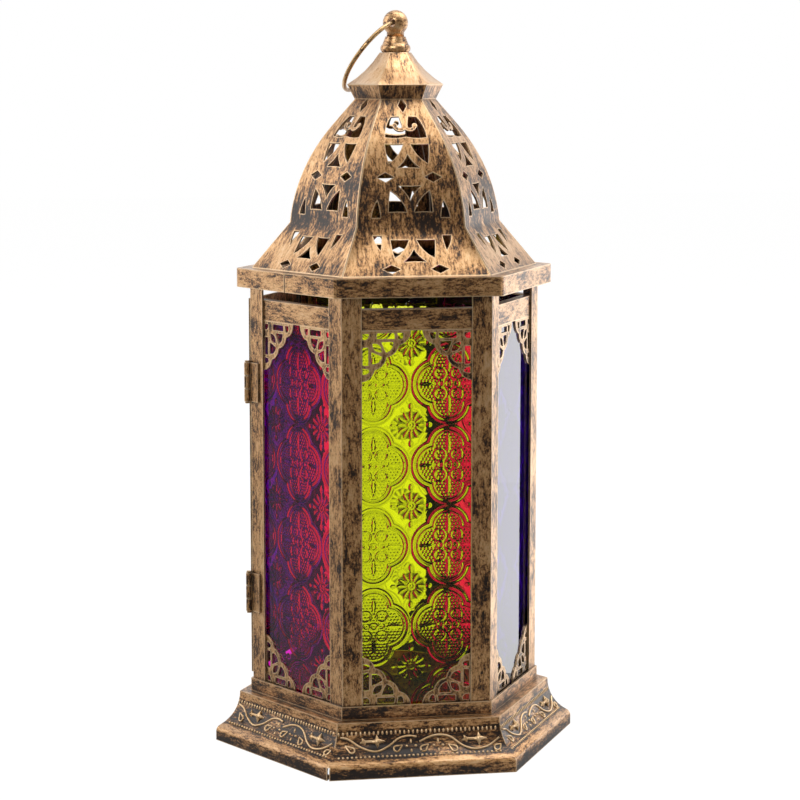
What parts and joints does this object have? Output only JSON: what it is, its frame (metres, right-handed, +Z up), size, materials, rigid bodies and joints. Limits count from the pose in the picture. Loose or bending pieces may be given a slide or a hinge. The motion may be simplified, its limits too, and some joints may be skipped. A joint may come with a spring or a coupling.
{
  "type": "candle lantern",
  "caption": "Hexagonal brass candle lantern with coloured glass panes, filigree corners, a pierced dome roof, a hinged door with a turn button, and a ring handle.",
  "frame": {"origin": "centre of the hexagon on the surface the lantern stands on", "axes": "+Z up through the ring; the lime front pane faces -Y; corners of the hexagon at 0, 60, 120, 180, 240 and 300 degrees from +X; the door is the face at 150"},
  "size_m": [0.1506, 0.1304, 0.2989],
  "materials": {
    "brass": "antique, dry-brushed over dark lacquer",
    "dark_brass": "antique, dark",
    "lime_glass": "pressed, stained",
    "blue_glass": "pressed, stained",
    "magenta_glass": "pressed, stained"
  },
  "bodies": {
    "body": {"base_skirt": "brass", "floor_tray": "brass", "candle_cup": "dark_brass", "post_0": "brass", "post_60": "brass", "post_120": "brass", "post_180": "brass", "post_240": "brass", "post_300": "brass", "rail_back_right": "brass", "rail_back": "brass", "rail_front_left": "brass", "rail_front": "brass", "rail_front_right": "brass", "pane_back_right": "magenta_glass", "pane_back": "lime_glass", "pane_front_left": "magenta_glass", "pane_front": "lime_glass", "pane_front_right": "blue_glass", "filigree_back_right": "brass", "filigree_back": "brass", "filigree_front_left": "brass", "filigree_front": "brass", "filigree_front_right": "brass", "pane_clips": "dark_brass", "hinge_leaf_upper": "brass", "hinge_leaf_lower": "brass", "hinge_pin_upper": "dark_brass", "hinge_pin_lower": "dark_brass", "latch_rivet": "dark_brass", "rim_band": "brass", "roof_back_right": "brass", "roof_back": "brass", "roof_back_left": "brass", "roof_front_left": "brass", "roof_front": "brass", "roof_front_right": "brass", "cap": "brass", "finial_collar": "dark_brass", "finial_ball": "dark_brass", "finial_nut": "dark_brass"},
    "door": {"door_frame": "brass", "door_pane": "blue_glass", "door_filigree": "brass", "door_tabs": "dark_brass", "door_leaf_upper": "brass", "door_leaf_lower": "brass"},
    "latch": {"latch_button": "dark_brass"},
    "ring": {"ring_handle": "dark_brass"}
  },
  "joints": [
    {"name": "door_hinge", "type": "hinge", "parent": "body", "child": "door", "pos_m": [-0.06108, 0, 0.1058], "axis": [0, 0, 1], "range_deg": [0, 180]},
    {"name": "latch_turn", "type": "hinge", "parent": "body", "child": "latch", "pos_m": [-0.0324, 0.05068, 0.1058], "axis": [-0.866, 0.5, 0], "range_deg": [0, 180]},
    {"name": "ring_swing", "type": "hinge", "parent": "body", "child": "ring", "pos_m": [0, 0, 0.29383], "axis": [0.5, 0.866, 0], "range_deg": [0, 286]}
  ]
}
